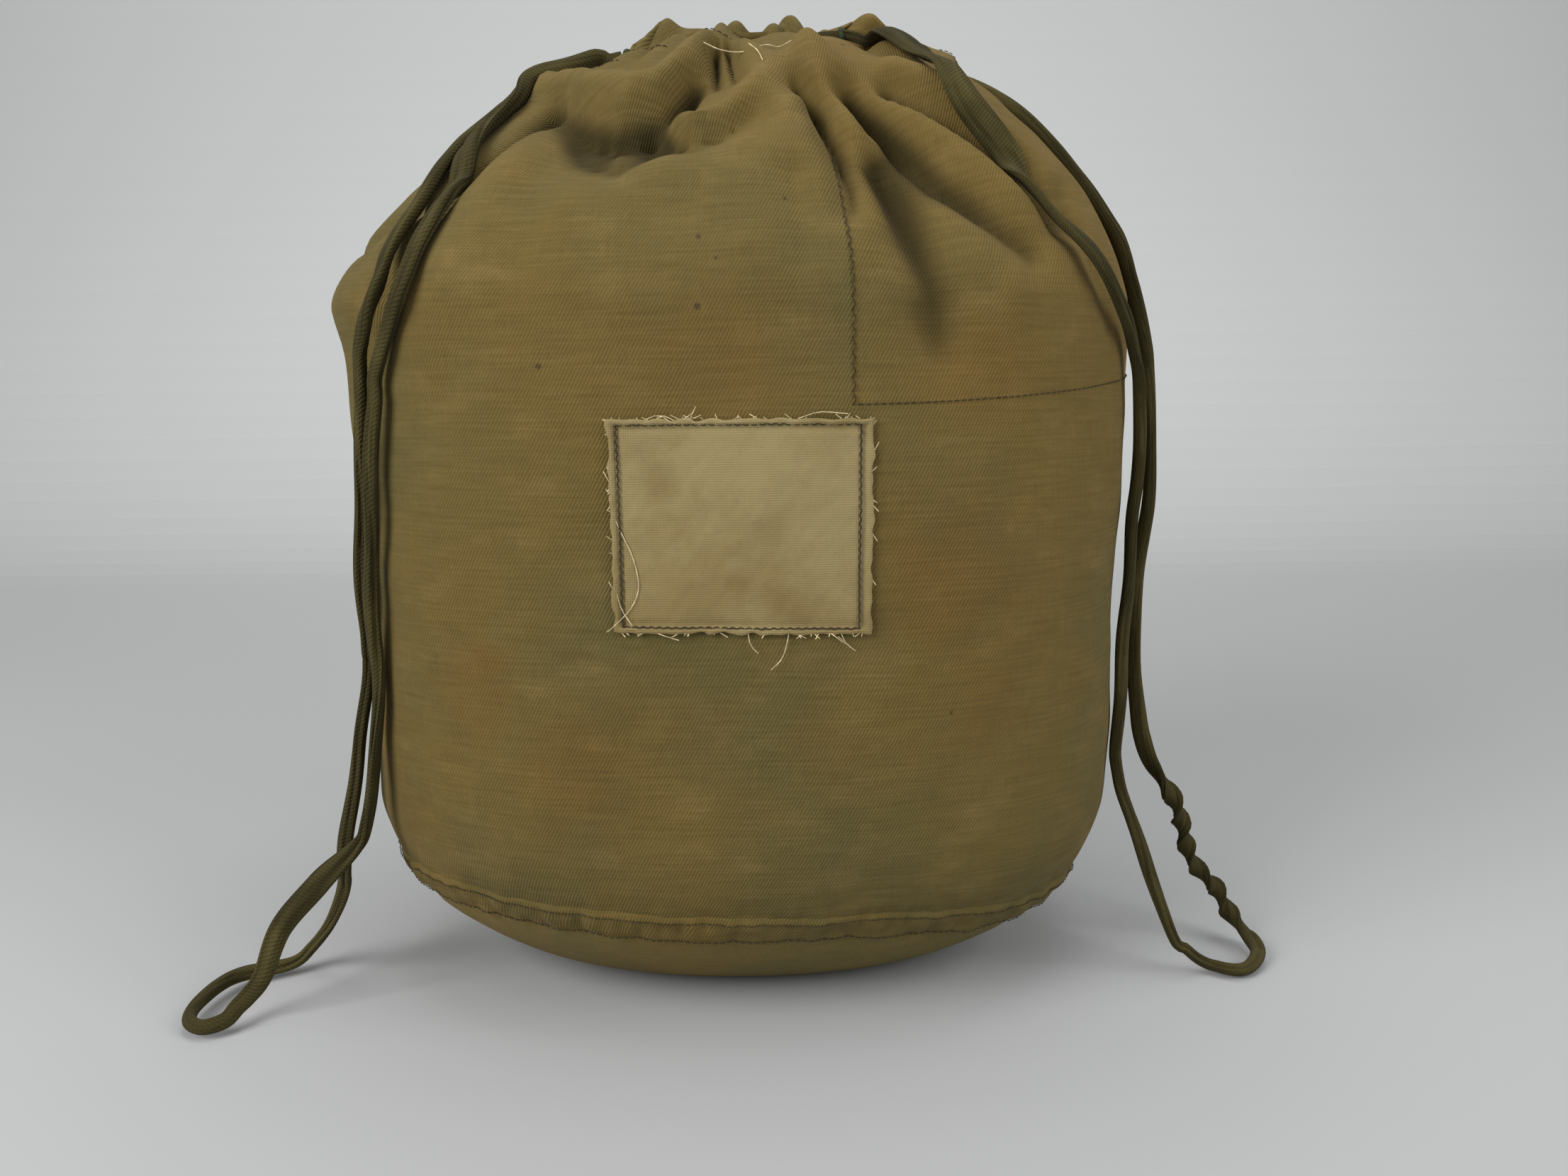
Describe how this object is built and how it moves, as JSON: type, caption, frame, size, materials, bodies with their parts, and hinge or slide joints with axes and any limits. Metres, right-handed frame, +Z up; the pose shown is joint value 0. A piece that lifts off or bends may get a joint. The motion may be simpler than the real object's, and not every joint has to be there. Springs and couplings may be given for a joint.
{
  "type": "drawstring duffel bag",
  "caption": "Soft cotton-twill drawstring bag standing filled, with a gathered mouth, two looped drawstrings, a sewn base and a blank sewn label.",
  "frame": {"origin": "on the ground under the middle of the bag's box, in the flat foot the bag stands on", "axes": "+Z up, +X to the bag's right as seen from the labelled front, the labelled front facing -Y"},
  "size_m": [0.407, 0.2081, 0.3623],
  "materials": {
    "twill": "washed khaki cotton twill, mottled and stained",
    "twill_pieced": "khaki cotton twill, a pieced panel",
    "seam": "felled twill seam, puckered",
    "label": "stained unbleached cotton, frayed edges, blank",
    "tape": "rolled olive cotton twill tape",
    "eyelet_thread": "dark green buttonhole thread",
    "thread": "dark cotton sewing thread"
  },
  "bodies": {
    "bag": {"front_panel": "twill", "front_insert_panel": "twill_pieced", "back_panel": "twill", "base_panel": "twill", "side_seam_right": "seam", "side_seam_left": "seam", "base_seam": "seam", "hem_casing": "twill", "eyelet_right": "eyelet_thread", "eyelet_left": "eyelet_thread", "label": "label", "label_stitching": "thread", "insert_seam_stitching_upright": "thread", "insert_seam_stitching_level": "thread", "base_seam_stitching_upper": "thread", "base_seam_stitching_lower": "thread", "side_seam_stitching_right": "thread", "side_seam_stitching_left": "thread", "casing_stitching": "thread"},
    "right_drawstring": {"drawstring_right_run": "tape", "drawstring_right_loop": "tape"},
    "left_drawstring": {"drawstring_left_run": "tape", "drawstring_left_loop": "tape"}
  },
  "joints": [
    {"name": "right_drawstring_pull", "type": "slide", "parent": "bag", "child": "right_drawstring", "axis": [1, 0, 0], "range_m": [0, 0.012]},
    {"name": "left_drawstring_pull", "type": "slide", "parent": "bag", "child": "left_drawstring", "axis": [-1, 0, 0], "range_m": [0, 0.012]}
  ]
}
